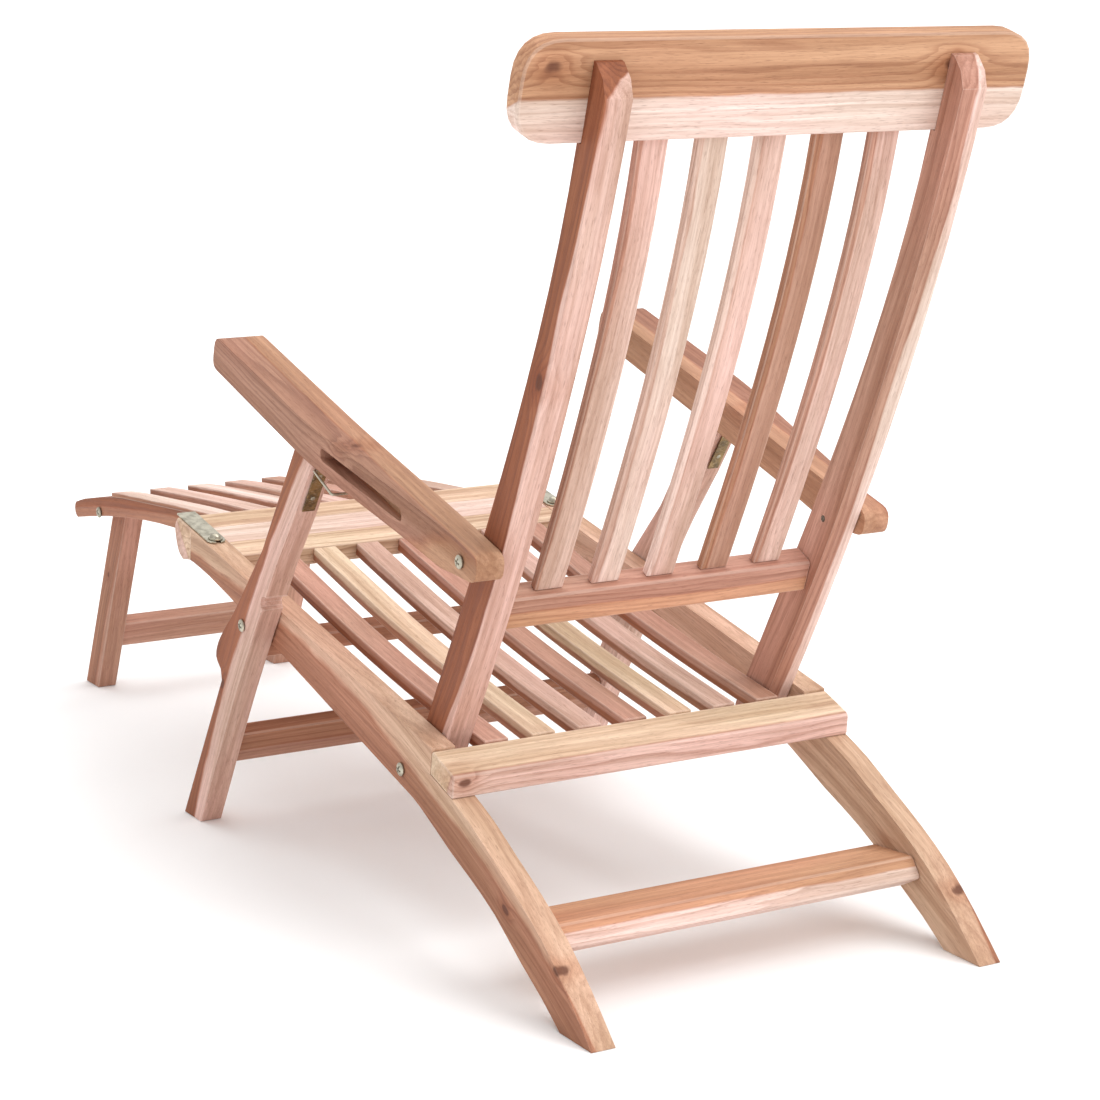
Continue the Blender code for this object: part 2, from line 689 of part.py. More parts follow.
def main():
    clear_scene()
    seat = axis_empty("seat_frame", (0.0, 0.0))
    back = axis_empty("back_axis", BACK_PIVOT, seat)
    legs = axis_empty("front_leg_axis", LEG_PIVOT, seat)
    footrest = axis_empty("footrest_slide", HOOK_POINT, seat)
    foot_legs = axis_empty("footrest_leg_axis", FOOTLEG_PIVOT, footrest)

    seat_parts = build_seat(seat)
    back_parts = build_back(back)
    leg_parts = build_front_legs(legs)
    foot_parts = build_footrest(footrest)
    foot_leg_parts = build_footrest_legs(foot_legs)

    for side, tag in ((1.0, "left"), (-1.0, "right")):
        rail = seat_parts["side_rail_" + tag]
        stile = back_parts["back_stile_" + tag]
        leg = leg_parts["front_leg_" + tag]
        foot_rail = foot_parts["footrest_rail_" + tag]
        foot_leg = foot_leg_parts["footrest_leg_" + tag]

        arm_axis = axis_empty("armrest_axis_" + tag, ARM_PIVOT, back)
        arm = build_armrest(side, tag, arm_axis)
        strap_screw("strap_screw_" + tag, side, seat)
        build_strap(side, tag, footrest)
        centre = build_catch(side, tag, legs)
        bail_axis = axis_empty("bail_axis_" + tag, tuple(centre), legs)
        build_bail(side, tag, centre, bail_axis)

        pivot_bolt("back_bolt_" + tag, BACK_PIVOT, RAIL_OUT, STILE_IN, side, seat)
        pivot_bolt("armrest_bolt_" + tag, ARM_PIVOT, ARM_BOLT_FACE, STILE_IN, side, back)
        pivot_bolt("front_leg_bolt_" + tag, LEG_PIVOT, LEG_OUT, RAIL_IN, side, legs)
        pivot_bolt("footrest_bolt_" + tag, FOOTLEG_PIVOT, FOOTRAIL_OUT, FOOTLEG_IN, side,
                   footrest)

        for hole, pieces, pivot, inner, outer in (
                ("back_hole_", (rail, stile), BACK_PIVOT, STILE_IN, RAIL_OUT),
                ("arm_hole_", (stile, arm), ARM_PIVOT, STILE_IN, RAIL_OUT),
                ("leg_hole_", (rail, leg), LEG_PIVOT, RAIL_IN, LEG_OUT),
                ("foot_hole_", (foot_rail, foot_leg), FOOTLEG_PIVOT, FOOTLEG_IN,
                 FOOTRAIL_OUT)):
            bore(hole + tag, pieces, pivot, side * (inner - BORE_OVERRUN),
                 side * (outer + BORE_OVERRUN))


main()
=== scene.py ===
"""Folding deck chair: finished teak members, hardware, light and camera."""
import json
import math

import bmesh
import bpy
import numpy as np
from mathutils import Matrix, Vector

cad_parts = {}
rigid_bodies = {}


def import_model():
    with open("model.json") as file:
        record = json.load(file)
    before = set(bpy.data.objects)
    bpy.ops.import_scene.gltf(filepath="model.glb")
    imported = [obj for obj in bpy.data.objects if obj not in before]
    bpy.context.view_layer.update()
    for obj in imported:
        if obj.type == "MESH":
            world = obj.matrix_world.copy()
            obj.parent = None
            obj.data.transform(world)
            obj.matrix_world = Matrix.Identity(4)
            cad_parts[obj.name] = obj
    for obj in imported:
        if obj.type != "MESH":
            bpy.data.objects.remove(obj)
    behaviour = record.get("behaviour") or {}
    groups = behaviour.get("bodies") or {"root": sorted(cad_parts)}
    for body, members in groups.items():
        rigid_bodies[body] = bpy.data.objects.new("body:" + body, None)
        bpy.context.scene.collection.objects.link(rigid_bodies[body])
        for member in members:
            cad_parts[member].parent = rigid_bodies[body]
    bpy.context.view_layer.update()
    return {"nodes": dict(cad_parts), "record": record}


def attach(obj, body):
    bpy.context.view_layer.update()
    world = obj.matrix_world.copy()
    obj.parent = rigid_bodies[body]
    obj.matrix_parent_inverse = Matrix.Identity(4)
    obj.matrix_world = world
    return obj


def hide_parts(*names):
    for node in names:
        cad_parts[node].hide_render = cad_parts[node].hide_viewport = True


for obj in list(bpy.data.objects):
    bpy.data.objects.remove(obj, do_unlink=True)

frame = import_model()
NODES = frame["nodes"]
BODY_OF = {n: b for b, names in frame["record"]["behaviour"]["bodies"].items() for n in names}


# ---------------------------------------------------------------- colours
def srgb(r, g, b):
    """8-bit screen colour to a linear node colour."""
    out = []
    for c in (r, g, b):
        c = c / 255.0
        out.append(c / 12.92 if c <= 0.04045 else ((c + 0.055) / 1.055) ** 2.4)
    return tuple(out) + (1.0,)


# paired tones: the paler one colours tops and rear faces, the darker one (BROWN, DEEP, ARM_DARK and
# the like) side and lower faces; partly the teak's own colours, partly painted shade
PINK = srgb(226, 194, 183)
CREAM = srgb(228, 204, 178)
TAN = srgb(218, 184, 160)
ARM = srgb(194, 150, 122)
ARM_DARK = srgb(178, 134, 114)
PALE = srgb(242, 220, 212)
HONEY = srgb(212, 164, 132)
ROSE = srgb(198, 154, 136)
BROWN = srgb(178, 128, 102)
DEEP = srgb(158, 100, 70)
RUST = srgb(176, 106, 72)


# ---------------------------------------------------------------- node helpers
COLOR_A, COLOR_B, COLOR_OUT = 6, 7, 2      # the colour sockets of a Mix node


class Graph:
    """Short calls for building one node tree."""

    def __init__(self, tree):
        self.tree = tree

    def node(self, kind, **settings):
        n = self.tree.nodes.new(kind)
        for key, value in settings.items():
            setattr(n, key, value)
        return n

    def feed(self, socket, value):
        if isinstance(value, bpy.types.NodeSocket):
            self.tree.links.new(value, socket)
        elif value is not None:
            socket.default_value = value

    def math(self, operation, a, b=None, c=None, clamp=False):
        n = self.node("ShaderNodeMath", operation=operation, use_clamp=clamp)
        for socket, value in zip(n.inputs, (a, b, c)):
            self.feed(socket, value)
        return n.outputs[0]

    def vec(self, operation, a, b=None, scale=None):
        n = self.node("ShaderNodeVectorMath", operation=operation)
        self.feed(n.inputs[0], a)
        self.feed(n.inputs[1], b)
        if scale is not None:
            self.feed(n.inputs["Scale"], scale)
        return n.outputs["Value" if operation in ("DOT_PRODUCT", "LENGTH") else "Vector"]

    def noise(self, vector, detail=2.0, rough=0.5, distort=0.0):
        n = self.node("ShaderNodeTexNoise")
        self.feed(n.inputs["Vector"], vector)
        n.inputs["Scale"].default_value = 1.0
        n.inputs["Detail"].default_value = detail
        n.inputs["Roughness"].default_value = rough
        n.inputs["Distortion"].default_value = distort
        return n.outputs["Fac"]

    def mix(self, fac, a, b, blend="MIX"):
        n = self.node("ShaderNodeMix", data_type="RGBA", blend_type=blend)
        self.feed(n.inputs["Factor"], fac)
        self.feed(n.inputs[COLOR_A], a)
        self.feed(n.inputs[COLOR_B], b)
        return n.outputs[COLOR_OUT]

    def step(self, value, low, high):
        n = self.node("ShaderNodeMapRange", interpolation_type="SMOOTHSTEP")
        self.feed(n.inputs["Value"], value)
        self.feed(n.inputs["From Min"], low)
        self.feed(n.inputs["From Max"], high)
        return n.outputs["Result"]


def wood_group():
    """Teak in grain coordinates: X along the grain, Y and Z across, in metres."""
    tree = bpy.data.node_groups.new("teak_wood", "ShaderNodeTree")
    face = tree.interface
    specs = [("Grain", "NodeSocketVector"), ("Seed", "NodeSocketFloat"),
             ("Light", "NodeSocketColor"), ("Dark", "NodeSocketColor"),
             ("Split", "NodeSocketVector"), ("Split Offset", "NodeSocketFloat"),
             ("Pith", "NodeSocketVector"), ("Ring", "NodeSocketFloat"),
             ("Knot A", "NodeSocketVector"), ("Knot B", "NodeSocketVector"),
             ("Knot Size", "NodeSocketFloat"), ("Wave", "NodeSocketFloat")]
    for name, kind in specs:
        face.new_socket(name=name, in_out="INPUT", socket_type=kind)
    for name, kind in (("Color", "NodeSocketColor"), ("Roughness", "NodeSocketFloat"),
                       ("Height", "NodeSocketFloat")):
        face.new_socket(name=name, in_out="OUTPUT", socket_type=kind)
    g = Graph(tree)
    src = g.node("NodeGroupInput").outputs
    sink = g.node("NodeGroupOutput").inputs

    seeded = g.math("MULTIPLY", src["Seed"], 7.31)
    offset = g.node("ShaderNodeCombineXYZ")
    g.feed(offset.inputs[0], seeded)
    g.feed(offset.inputs[1], g.math("MULTIPLY", src["Seed"], 3.17))
    g.feed(offset.inputs[2], g.math("MULTIPLY", src["Seed"], 5.53))

    def field(scale, detail=2.0, rough=0.5, base=src["Grain"]):
        scaled = g.vec("MULTIPLY", base, scale)
        return g.noise(g.vec("ADD", scaled, offset.outputs[0]), detail, rough)

    def centred(value, amount):
        return g.math("MULTIPLY", g.math("SUBTRACT", value, 0.5), amount)

    # the grain wanders slowly, and a little more finely
    sway = g.node("ShaderNodeCombineXYZ")
    g.feed(sway.inputs[1], centred(field((3.0, 10.0, 10.0), 2.0), 0.016))
    g.feed(sway.inputs[2], centred(field((4.0, 12.0, 12.0), 2.0), 0.010))
    flow = g.vec("ADD", src["Grain"], sway.outputs[0])
    fine = g.node("ShaderNodeCombineXYZ")
    g.feed(fine.inputs[1], centred(field((16.0, 70.0, 70.0), 3.0), 0.0016))
    flow = g.vec("ADD", flow, fine.outputs[0])

    # knots push the grain aside
    bulge, core, knot_rings = None, None, None
    for name in ("Knot A", "Knot B"):
        away = g.vec("MULTIPLY", g.vec("SUBTRACT", src["Grain"], src[name]), (0.62, 1.0, 0.35))
        wobble = centred(field((60.0, 90.0, 90.0), 2.0), 0.006)
        dist = g.math("ADD", g.vec("LENGTH", away), wobble)
        ratio = g.math("DIVIDE", dist, src["Knot Size"])
        push = g.math("EXPONENT", g.math("MULTIPLY", g.math("MULTIPLY", ratio, ratio), -0.55))
        dark = g.math("SUBTRACT", 1.0, g.step(ratio, 0.30, 0.62))
        rings = g.math("MULTIPLY", g.math("SUBTRACT", 1.0, g.step(ratio, 0.5, 1.9)), 0.5)
        bulge = push if bulge is None else g.math("MAXIMUM", bulge, push)
        core = dark if core is None else g.math("MAXIMUM", core, dark)
        knot_rings = rings if knot_rings is None else g.math("MAXIMUM", knot_rings, rings)

    # growth rings about a pith outside the stick
    across = g.vec("MULTIPLY", g.vec("SUBTRACT", flow, src["Pith"]), (0.0, 1.0, 1.0))
    radius = g.math("ADD", g.vec("LENGTH", across),
                    g.math("MULTIPLY", bulge, g.math("MULTIPLY", src["Knot Size"], 1.3)))
    phase = g.math("DIVIDE", radius, src["Ring"])
    phase = g.math("ADD", phase, centred(field((1.4, 24.0, 24.0), 3.0), 6.0))
    saw = g.math("FRACT", phase)
    late = g.math("MULTIPLY", g.step(saw, 0.35, 0.90),
                  g.math("SUBTRACT", 1.0, g.step(saw, 0.90, 1.0)))
    own = g.noise(offset.outputs[0], 0.0)
    ring_id = g.node("ShaderNodeCombineXYZ")
    g.feed(ring_id.inputs[0], g.math("MULTIPLY", g.math("FLOOR", phase), 0.71))
    g.feed(ring_id.inputs[1], own)
    uneven = g.noise(g.vec("ADD", ring_id.outputs[0], offset.outputs[0]), 0.0)
    late = g.math("MULTIPLY", late, g.math("ADD", 0.25, g.math("MULTIPLY", uneven, 1.3)))

    broad = field((1.6, 42.0, 42.0), 3.0, 0.6, flow)
    streak = field((4.0, 260.0, 260.0), 3.0, 0.6, flow)
    fibre = field((22.0, 1150.0, 1150.0), 2.0, 0.6, flow)
    pore = g.step(field((75.0, 1500.0, 1500.0), 1.0, 0.5, flow), 0.60, 0.72)
    blotch = field((2.4, 7.0, 7.0), 2.0)

    # sapwood and heartwood meet along a wandering border, with a rust line along it; the sticks set
    # it so that sides and lower faces often take the darker tone, which is partly the teak's own
    # colour and partly painted shade
    lean = g.vec("DOT_PRODUCT", src["Grain"], src["Split"])
    border = g.math("ADD", lean, src["Split Offset"])
    border = g.math("ADD", border, g.math("MULTIPLY", centred(field((3.6, 2.0, 2.0), 2.0), 1.0),
                                          src["Wave"]))
    border = g.math("ADD", border, centred(field((22.0, 60.0, 60.0), 3.0), 0.0035))
    heartwood_and_shade = g.step(border, -0.0012, 0.0012)
    rim = g.math("SUBTRACT", 1.0, g.step(g.math("ABSOLUTE", border), 0.0002, 0.0022))

    # light tone against dark tone: partly heartwood, partly painted shade on the faces turned away
    # from the lamps
    colour = g.mix(heartwood_and_shade, src["Light"], src["Dark"])
    colour = g.mix(g.math("MULTIPLY", rim, 0.30), colour, RUST)
    warm = g.mix(g.step(blotch, 0.38, 0.66), (0.93, 0.95, 0.90, 1.0), (1.07, 1.00, 1.00, 1.0))
    colour = g.mix(0.9, colour, warm, "MULTIPLY")
    tone = g.mix(g.step(broad, 0.34, 0.68), (0.76, 0.67, 0.60, 1.0), (1.07, 1.08, 1.09, 1.0))
    colour = g.mix(0.85, colour, tone, "MULTIPLY")
    line = g.math("MULTIPLY", late, g.math("ADD", 0.26, g.math("MULTIPLY", heartwood_and_shade, 0.26)))
    colour = g.mix(line, colour, g.mix(1.0, colour, (0.56, 0.40, 0.32, 1.0), "MULTIPLY"))
    hair = g.mix(g.step(streak, 0.36, 0.66), (0.83, 0.78, 0.75, 1.0), (1.04, 1.04, 1.04, 1.0))
    colour = g.mix(0.7, colour, hair, "MULTIPLY")
    thread = g.mix(g.step(fibre, 0.30, 0.70), (0.88, 0.85, 0.83, 1.0), (1.04, 1.04, 1.04, 1.0))
    colour = g.mix(0.8, colour, thread, "MULTIPLY")
    colour = g.mix(g.math("MULTIPLY", pore, 0.34), colour, srgb(110, 66, 48))
    colour = g.mix(knot_rings, colour, g.mix(1.0, colour, (0.72, 0.50, 0.38, 1.0), "MULTIPLY"))
    colour = g.mix(g.math("MULTIPLY", core, 0.86), colour, srgb(96, 52, 34))

    # painted highlight: the rounded arrises are mixed a little towards a pale tone, as where edges
    # catch the light
    wear_and_highlight = g.node("ShaderNodeAttribute", attribute_name="arris")
    colour = g.mix(g.math("MULTIPLY", wear_and_highlight.outputs["Fac"], 0.30), colour,
                   g.mix(0.5, colour, srgb(244, 226, 214)))
    g.feed(sink["Color"], colour)

    rough = g.math("ADD", 0.60, g.math("MULTIPLY", streak, 0.16))
    rough = g.math("ADD", rough, g.math("MULTIPLY", pore, 0.10))
    g.feed(sink["Roughness"], g.math("SUBTRACT", rough, g.math("MULTIPLY", late, 0.10)))
    height = g.math("ADD", g.math("MULTIPLY", fibre, 0.35), g.math("MULTIPLY", streak, 0.40))
    height = g.math("ADD", height, g.math("MULTIPLY", late, 0.25))
    height = g.math("SUBTRACT", height, g.math("MULTIPLY", pore, 0.55))
    g.feed(sink["Height"], g.math("SUBTRACT", height, g.math("MULTIPLY", core, 0.30)))
    return tree


WOOD = wood_group()
NO_KNOT = (9.0, 9.0, 9.0)       # a place far outside every stick
BENDS = 9                       # stretches in which a stick's middle line is measured


def grain_frame(points, along):
    """Centre, directions and bend of a stick, from its corner points."""
    pts = np.array(points)
    centre = (pts.min(0) + pts.max(0)) / 2.0
    if along == "x":
        return dict(centre=centre, u=(1, 0, 0), v=(0, 0, 1), w=(0, 1, 0), bend=(0, 0, 0))
    yz = pts[:, 1:] - centre[1:]
    values, vectors = np.linalg.eigh(yz.T @ yz)
    axis = vectors[:, 1]
    if axis[0] < 0:
        axis = -axis
    square = np.array((-axis[1], axis[0]))
    u, v = yz @ axis, yz @ square
    edges = np.linspace(u.min(), u.max(), BENDS + 1)
    mids = []
    for low, high in zip(edges, edges[1:]):
        inside = (u >= low - 0.01) & (u <= high + 0.01)
        if inside.any() and v[inside].max() - v[inside].min() > 0.004:
            mids.append(((low + high) / 2.0, (v[inside].max() + v[inside].min()) / 2.0))
    bend = (0.0, 0.0, 0.0)
    if len(mids) >= 4:
        fit = np.polyfit([m[0] for m in mids], [m[1] for m in mids], 2)
        bend = (float(fit[2]), float(fit[1]), float(fit[0]))
    return dict(centre=centre, u=(0, axis[0], axis[1]), v=(0, square[0], square[1]),
                w=(1, 0, 0), bend=bend)


def teak(name, basis, light, dark, seed, split=(0.0, 1.0, 0.0), offset=-1.0, ring=0.0070,
         pith=(0.0, -0.045, 0.020), knots=(), knot_size=0.011, wave=0.012):
    """Wood material of one stick, grain laid along its own curve."""
    mat = bpy.data.materials.new("teak_" + name)
    mat.use_nodes = True
    g = Graph(mat.node_tree)
    shader = mat.node_tree.nodes["Principled BSDF"]
    place = g.node("ShaderNodeTexCoord").outputs["Object"]
    local = g.vec("SUBTRACT", place, tuple(float(c) for c in basis["centre"]))
    u = g.vec("DOT_PRODUCT", local, tuple(float(c) for c in basis["u"]))
    v = g.vec("DOT_PRODUCT", local, tuple(float(c) for c in basis["v"]))
    w = g.vec("DOT_PRODUCT", local, tuple(float(c) for c in basis["w"]))
    b0, b1, b2 = basis["bend"]
    curve = g.math("MULTIPLY_ADD", g.math("MULTIPLY_ADD", u, b2, b1), u, b0)
    stacked = g.node("ShaderNodeCombineXYZ")
    g.feed(stacked.inputs[0], u)
    g.feed(stacked.inputs[1], g.math("SUBTRACT", v, curve))
    g.feed(stacked.inputs[2], w)
    wood = g.node("ShaderNodeGroup", node_tree=WOOD)
    # Light colours the faces on one side of the split and Dark the other; on most sticks Dark takes
    # the side and lower faces, partly the wood's heartwood and partly painted shade
    values = {"Grain": stacked.outputs[0], "Seed": float(seed), "Light": light, "Dark": dark,
              "Split": split, "Split Offset": offset, "Pith": pith, "Ring": ring,
              "Knot A": knots[0] if knots else NO_KNOT,
              "Knot B": knots[1] if len(knots) > 1 else NO_KNOT,
              "Knot Size": knot_size, "Wave": wave}
    for key, value in values.items():
        g.feed(wood.inputs[key], value)
    bump = g.node("ShaderNodeBump")
    bump.inputs["Strength"].default_value = 0.45
    bump.inputs["Distance"].default_value = 0.0006
    g.feed(bump.inputs["Height"], wood.outputs["Height"])
    g.feed(shader.inputs["Base Color"], wood.outputs["Color"])
    g.feed(shader.inputs["Roughness"], wood.outputs["Roughness"])
    g.feed(shader.inputs["Normal"], bump.outputs["Normal"])
    shader.inputs["Specular IOR Level"].default_value = 0.32
    return mat


def metal(name, base, wear_and_highlight, rough):
    """Plated metal with fine scratches and cloudy plating."""
    mat = bpy.data.materials.new(name)
    mat.use_nodes = True
    g = Graph(mat.node_tree)
    shader = mat.node_tree.nodes["Principled BSDF"]
    place = g.node("ShaderNodeTexCoord").outputs["Object"]
    cloud = g.noise(g.vec("MULTIPLY", place, (90.0, 90.0, 90.0)), 3.0, 0.6)
    scratch = g.noise(g.vec("MULTIPLY", place, (240.0, 2600.0, 900.0)), 2.0, 0.6)
    colour = g.mix(g.step(cloud, 0.35, 0.70), base, wear_and_highlight)
    colour = g.mix(g.math("MULTIPLY", g.step(scratch, 0.55, 0.75), 0.35), colour,
                   srgb(236, 230, 214))
    g.feed(shader.inputs["Base Color"], colour)
    g.feed(shader.inputs["Roughness"], g.math("MULTIPLY_ADD", cloud, 0.22, rough))
    bump = g.node("ShaderNodeBump")
    bump.inputs["Strength"].default_value = 0.25
    bump.inputs["Distance"].default_value = 0.0002
    g.feed(bump.inputs["Height"], scratch)
    g.feed(shader.inputs["Normal"], bump.outputs["Normal"])
    shader.inputs["Metallic"].default_value = 0.92
    return mat


ZINC = metal("zinc_steel", srgb(196, 190, 172), srgb(150, 144, 128), 0.24)
DARK_STEEL = metal("dark_steel", srgb(120, 112, 100), srgb(82, 74, 66), 0.34)
BRASS = metal("aged_brass", srgb(150, 124, 84), srgb(96, 80, 58), 0.30)


# ---------------------------------------------------------------- refined members
WELD = 0.00002                  # metres within which two corners are one


def finished_mesh(name, width, sharp=25.0, segments=3):
    """Copy of a CAD solid with clean faces and rounded arrises."""
    bm = bmesh.new()
    bm.from_mesh(NODES[name].data)
    bmesh.ops.remove_doubles(bm, verts=bm.verts, dist=WELD)
    bmesh.ops.dissolve_limit(bm, angle_limit=math.radians(0.6), verts=bm.verts,
                             edges=bm.edges, use_dissolve_boundaries=False)
    edges = [e for e in bm.edges if e.is_manifold and
             e.calc_face_angle(0.0) > math.radians(sharp)]
    made = bmesh.ops.bevel(bm, geom=edges, offset=width, segments=segments, profile=0.6,
                           affect="EDGES", clamp_overlap=True, offset_type="OFFSET")
    mesh = bpy.data.meshes.new("look_" + name)
    bm.faces.index_update()
    rounded = [f.index for f in made["faces"]]
    bm.to_mesh(mesh)
    layer = mesh.attributes.new("arris", "FLOAT", "FACE")
    for i in rounded:
        layer.data[i].value = 1.0
    bm.free()
    mesh.shade_smooth()
    return mesh


def refine(name, material, width=0.0016, sharp=25.0, segments=3):
    """Shows the finished copy of a CAD node in its place, on its body."""
    mesh = finished_mesh(name, width, sharp, segments)
    mesh.materials.append(material)
    obj = bpy.data.objects.new("look_" + name, mesh)
    bpy.context.scene.collection.objects.link(obj)
    weight = obj.modifiers.new("weighted", "WEIGHTED_NORMAL")
    weight.keep_sharp = True
    weight.weight = 60
    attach(obj, BODY_OF[name])
    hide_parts(name)
    return obj


def corner_points(name):
    return [tuple(v.co) for v in NODES[name].data.vertices]


def stick(name, light, dark, seed, along="yz", width=0.0016, **look):
    basis = grain_frame(corner_points(name), along)
    return refine(name, teak(name, basis, light, dark, seed, **look), width)


HAND = (("left", 1.0), ("right", -1.0))

# seat: tan top faces, brown outer faces; the brown is partly teak heartwood and partly painted
# shade
for tag, side in HAND:
    stick("side_rail_" + tag, TAN, BROWN, 11 + side, split=(0.0, -0.32, side * 1.0),
          offset=-0.0105, wave=0.006, pith=(0.0, -0.060, -side * 0.05), width=0.0022,
          knots=((0.315, -0.004, side * 0.013), (0.42, 0.012, side * 0.010)), knot_size=0.008)
stick("front_cross_rail", PALE, CREAM, 23, "x", split=(0.0, 0.0, 1.0), offset=-0.004,
      wave=0.010)
stick("rear_cross_rail", CREAM, PINK, 31, "x", split=(0.0, -0.5, 0.86), offset=-0.0165,
      wave=0.006, knots=((0.236, -0.004, 0.018),), knot_size=0.010, width=0.0020)
stick("rear_stretcher", HONEY, PALE, 37, "x", split=(0.0, -0.75, 0.65), offset=-0.014,
      wave=0.008, width=0.0022)
# each slat's dark tone lies on its sides and underside: painted shade, partly also the teak's
# darker heartwood
SEAT_TONES = ((ROSE, DEEP), (PINK, BROWN), (CREAM, BROWN), (ROSE, DEEP), (PINK, DEEP),
              (CREAM, BROWN), (ROSE, DEEP))
for i, (light, dark) in enumerate(SEAT_TONES):
    stick("seat_slat_%d" % (i + 1), light, dark, 41 + i * 3, split=(0.0, -1.0, 0.15),
          offset=-0.0022, wave=0.009, width=0.0018, pith=(0.0, -0.05, 0.012 * (i - 3)))

# back: pale rear faces, brown sides and a two-tone head rail; the brown sides are partly wood
# colour and partly painted shade
stick("back_stile_left", PINK, DEEP, 63, split=(0.0, 1.0, 0.55), offset=0.0020, wave=0.040,
      width=0.0020, pith=(0.0, 0.045, -0.035),
      knots=((0.10, -0.004, 0.013),), knot_size=0.012)
stick("back_stile_right", PALE, ROSE, 71, split=(0.0, 0.2, 1.0), offset=0.0040, wave=0.024,
      width=0.0020, pith=(0.0, 0.045, 0.045))
stick("head_rail", PALE, HONEY, 79, "x", split=(0.0, 1.0, -0.28), offset=0.0130, wave=0.004,
      width=0.0024, ring=0.0065, pith=(0.0, 0.070, -0.020),
      knots=((-0.195, 0.014, 0.008), (0.262, 0.020, 0.006)), knot_size=0.013)
stick("lower_back_rail", HONEY, ROSE, 83, "x", split=(0.0, 1.0, 0.0), offset=0.006,
      wave=0.010, width=0.0020)
BACK_TONES = ((PINK, ROSE, 0.000), (ROSE, BROWN, 0.002), (PINK, PALE, 0.0), (PALE, PINK, 0.0),
              (PINK, ROSE, -0.002))
for i, (light, dark, offset) in enumerate(BACK_TONES):
    stick("back_slat_%d" % (i + 1), light, dark, 89 + i * 5, split=(0.0, 0.3, 1.0),
          offset=-0.009 + offset, wave=0.010, width=0.0014,
          pith=(0.0, 0.04, 0.016 * (i - 2)), ring=0.0038)

# arms, front legs and the stretchers between them; arms and legs take the darker tone on their
# outer faces, partly painted shade
for tag, side in HAND:
    stick("armrest_" + tag, ARM, ARM_DARK, 117 + side * 3, split=(0.0, 0.2, side), offset=-0.004,
          wave=0.012, width=0.0030, pith=(0.0, -0.06, side * 0.03),
          knots=((0.02, 0.019, side * 0.004),), knot_size=0.009)
    stick("front_leg_" + tag, PINK, DEEP, 131 + side * 2, split=(0.0, 0.55, side * 0.84),
          offset=-0.0125, wave=0.012, width=0.0020, pith=(0.0, 0.05, -side * 0.03),
          knots=((-0.09, 0.008, side * 0.012),), knot_size=0.009)
stick("front_leg_stretcher", ROSE, BROWN, 141, "x", split=(0.0, 0.9, 0.4), offset=0.004,
      wave=0.010)
stick("under_seat_bar", BROWN, DEEP, 149, "x", wave=0.010)

# footrest; its slats take the darker tone on their sides and undersides, partly painted shade
stick("footrest_hook_rail", PINK, CREAM, 157, "x", split=(0.0, 0.6, 0.8), offset=0.0,
      width=0.0020, wave=0.008)
stick("footrest_front_rail", ROSE, BROWN, 163, "x")
for tag, side in HAND:
    stick("footrest_rail_" + tag, BROWN, DEEP, 167 + side, split=(0.0, 1.0, 0.0), offset=-0.002,
          wave=0.010, width=0.0020)
    stick("footrest_leg_" + tag, ROSE, BROWN, 175 + side * 2, split=(0.0, 0.4, side), offset=-0.006,
          wave=0.010, width=0.0020, knots=((0.03, 0.0, side * 0.012),), knot_size=0.006)
stick("footrest_leg_stretcher", ROSE, BROWN, 183, "x")
FOOT_TONES = ((PINK, ROSE), (PALE, ROSE), (ROSE, BROWN), (PINK, ROSE), (PALE, BROWN),
              (PINK, ROSE), (PALE, BROWN))
for i, (light, dark) in enumerate(FOOT_TONES):
    stick("footrest_slat_%d" % (i + 1), light, dark, 191 + i * 4, split=(0.0, -1.0, 0.2),
          offset=-0.0010, wave=0.006, width=0.0014)

# hardware
for tag, side in HAND:
    for kind in ("back_bolt_", "armrest_bolt_", "front_leg_bolt_", "footrest_bolt_"):
        refine(kind + tag, DARK_STEEL, 0.0003, 40.0, 2)
    refine("strap_screw_" + tag, ZINC, 0.0003, 40.0, 2)
    refine("strap_plate_" + tag, ZINC, 0.0006, 25.0, 2)
    refine("catch_plate_" + tag, BRASS, 0.0004, 40.0, 2)
    refine("wire_bail_" + tag, ZINC, 0.0001, 80.0, 1)

# ---------------------------------------------------------------- screw heads
HEAD_TURN = 0.4                 # how far a cross recess is turned, in radians
HEAD_SINK, HEAD_RISE = 0.0026, 0.0031       # seat below the bolt's top, and dome above it
HEAD_COVER = 1.08               # head radius over the bolt's own
CATCH_SCREW_R, CATCH_SCREW_RISE = 0.0026, 0.0009


def across(normal):
    """Two directions in the plane across a normal."""
    n = Vector(normal).normalized()
    first = n.orthogonal().normalized()
    return first, n.cross(first)


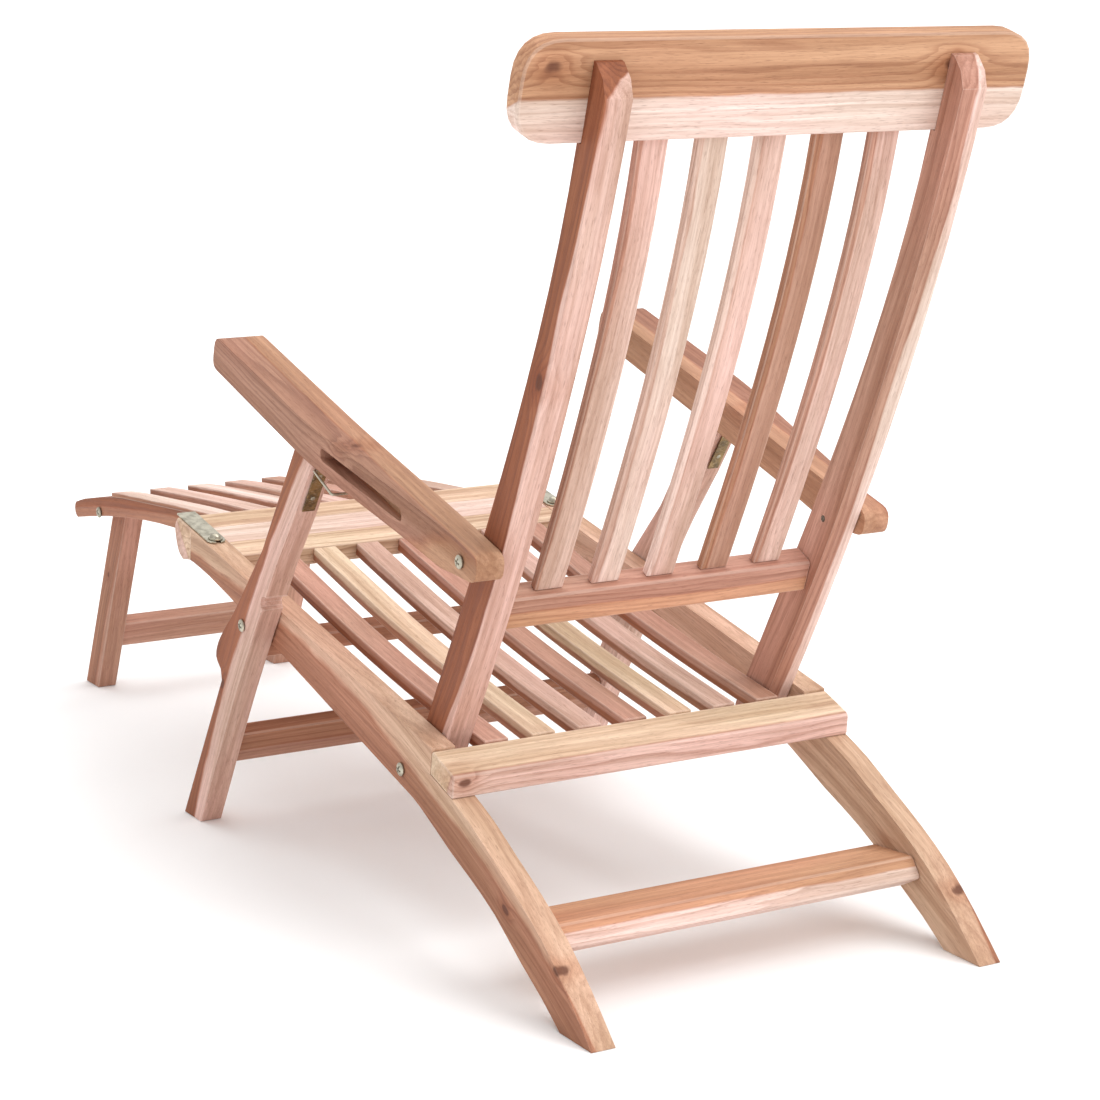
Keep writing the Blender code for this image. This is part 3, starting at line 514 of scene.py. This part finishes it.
def screw_head(name, seat, normal, radius, height, material, body, turn=HEAD_TURN):
    """Round head with a cross recess, on its seat and facing along the normal."""
    n = Vector(normal).normalized()
    a, b = across(n)
    rings, steps = 14, 56
    bm = bmesh.new()
    rows = []
    for i in range(rings + 1):
        r = radius * i / rings
        row = []
        for k in range(1 if i == 0 else steps):
            phi = 2.0 * math.pi * k / steps + turn
            u, v = r * math.cos(phi - turn), r * math.sin(phi - turn)
            rise = height * math.sqrt(max(0.0, 1.0 - 0.92 * (r / radius) ** 2))
            in_recess = min(abs(u), abs(v)) < 0.13 * radius and r < 0.62 * radius
            if in_recess:
                rise -= 0.55 * height
            row.append(bm.verts.new(Vector(seat) + a * r * math.cos(phi) +
                                    b * r * math.sin(phi) + n * rise))
        rows.append(row)
    base = [bm.verts.new(v.co - n * (v.co - Vector(seat)).dot(n)) for v in rows[-1]]
    rows.append(base)
    for k in range(steps):
        bm.faces.new((rows[0][0], rows[1][k], rows[1][(k + 1) % steps]))
        for low, high in zip(rows[1:], rows[2:]):
            bm.faces.new((low[k], high[k], high[(k + 1) % steps], low[(k + 1) % steps]))
    bm.faces.new(base[::-1])
    bmesh.ops.recalc_face_normals(bm, faces=bm.faces)
    mesh = bpy.data.meshes.new(name)
    bm.to_mesh(mesh)
    bm.free()
    mesh.shade_smooth()
    mesh.set_sharp_from_angle(angle=math.radians(42.0))
    mesh.materials.append(material)
    obj = bpy.data.objects.new(name, mesh)
    bpy.context.scene.collection.objects.link(obj)
    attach(obj, body)
    return obj


def widest_face(name, facing):
    """Centre, normal, long direction and length of the largest face turned one way."""
    bm = bmesh.new()
    bm.from_mesh(NODES[name].data)
    bmesh.ops.remove_doubles(bm, verts=bm.verts, dist=WELD)
    bmesh.ops.dissolve_limit(bm, angle_limit=math.radians(1.0), verts=bm.verts, edges=bm.edges)
    best = max((f for f in bm.faces if f.normal.dot(Vector(facing)) > 0.6),
               key=lambda f: f.calc_area())
    edge = max(best.edges, key=lambda e: e.calc_length())
    way = (edge.verts[0].co - edge.verts[1].co).normalized()
    out = (best.calc_center_median(), best.normal.copy(), way, edge.calc_length())
    bm.free()
    return out


for tag, side in HAND:
    for kind in ("back_bolt_", "armrest_bolt_", "front_leg_bolt_", "footrest_bolt_"):
        pts = np.array(corner_points(kind + tag))
        outer = np.abs(pts[:, 0]).max()
        axis = (pts[:, 1:].min(0) + pts[:, 1:].max(0)) / 2.0
        radius = (pts[:, 1].max() - pts[:, 1].min()) / 2.0
        seat_x = side * (outer - HEAD_SINK)
        screw_head("bolt_head_" + kind + tag, (seat_x, axis[0], axis[1]), (side, 0.0, 0.0),
                   radius * HEAD_COVER, HEAD_RISE, ZINC, BODY_OF[kind + tag])
    centre, normal, way, length = widest_face("catch_plate_" + tag, (0.0, 1.0, 0.3))
    for k, share in enumerate((-0.20, 0.30)):
        screw_head("catch_screw_%d_%s" % (k + 1, tag), centre + way * length * share, normal,
                   CATCH_SCREW_R, CATCH_SCREW_RISE, ZINC, "front_legs", HEAD_TURN + k)

# ---------------------------------------------------------------- floor, light, camera
FLOOR_Z = -0.0005               # just under the feet
FLOOR_HALF = 60.0
SKY_LIGHT = 0.86
sheet = bpy.data.meshes.new("studio_floor")
sheet.from_pydata([(-FLOOR_HALF, -FLOOR_HALF, FLOOR_Z), (FLOOR_HALF, -FLOOR_HALF, FLOOR_Z),
                   (FLOOR_HALF, FLOOR_HALF, FLOOR_Z), (-FLOOR_HALF, FLOOR_HALF, FLOOR_Z)],
                  [], [(0, 1, 2, 3)])
floor = bpy.data.objects.new("studio_floor", sheet)
bpy.context.scene.collection.objects.link(floor)
paper = bpy.data.materials.new("studio_floor")
paper.use_nodes = True
paper_shader = paper.node_tree.nodes["Principled BSDF"]
paper_shader.inputs["Base Color"].default_value = (0.93, 0.93, 0.93, 1.0)
paper_shader.inputs["Roughness"].default_value = 0.9
paper_shader.inputs["Specular IOR Level"].default_value = 0.0
sheet.materials.append(paper)

world = bpy.data.worlds.new("studio")
bpy.context.scene.world = world
world.use_nodes = True
world.node_tree.nodes["Background"].inputs["Color"].default_value = (1.0, 1.0, 1.0, 1.0)
world.node_tree.nodes["Background"].inputs["Strength"].default_value = SKY_LIGHT


def soft_sun(name, from_where, strength, spread):
    data = bpy.data.lights.new(name, "SUN")
    data.energy = strength
    data.angle = math.radians(spread)
    lamp = bpy.data.objects.new(name, data)
    bpy.context.scene.collection.objects.link(lamp)
    lamp.rotation_euler = (-Vector(from_where)).to_track_quat("-Z", "Y").to_euler()


soft_sun("key", (-0.75, 1.0, 1.30), 1.50, 46.0)
soft_sun("top", (-0.10, -0.30, 1.0), 0.95, 60.0)

AZIMUTH, ELEVATION, ROLL = (math.radians(a) for a in (149.5625, 12.0659, 0.207))
EYE = Vector((1.5901, 2.9814, 1.0437))
back = Vector((math.sin(AZIMUTH) * math.cos(ELEVATION),
               -math.cos(AZIMUTH) * math.cos(ELEVATION), math.sin(ELEVATION)))
right = Vector((0.0, 0.0, 1.0)).cross(back).normalized()
up = back.cross(right)
rolled_right = right * math.cos(ROLL) + up * math.sin(ROLL)
rolled_up = up * math.cos(ROLL) - right * math.sin(ROLL)
turn = Matrix((rolled_right, rolled_up, back)).transposed().to_4x4()
lens = bpy.data.cameras.new("camera")
lens.lens, lens.sensor_width = 93.38, 36.0
camera = bpy.data.objects.new("camera", lens)
bpy.context.scene.collection.objects.link(camera)
camera.matrix_world = Matrix.Translation(EYE) @ turn
bpy.context.scene.camera = camera
bpy.context.scene.view_settings.view_transform = "Standard"
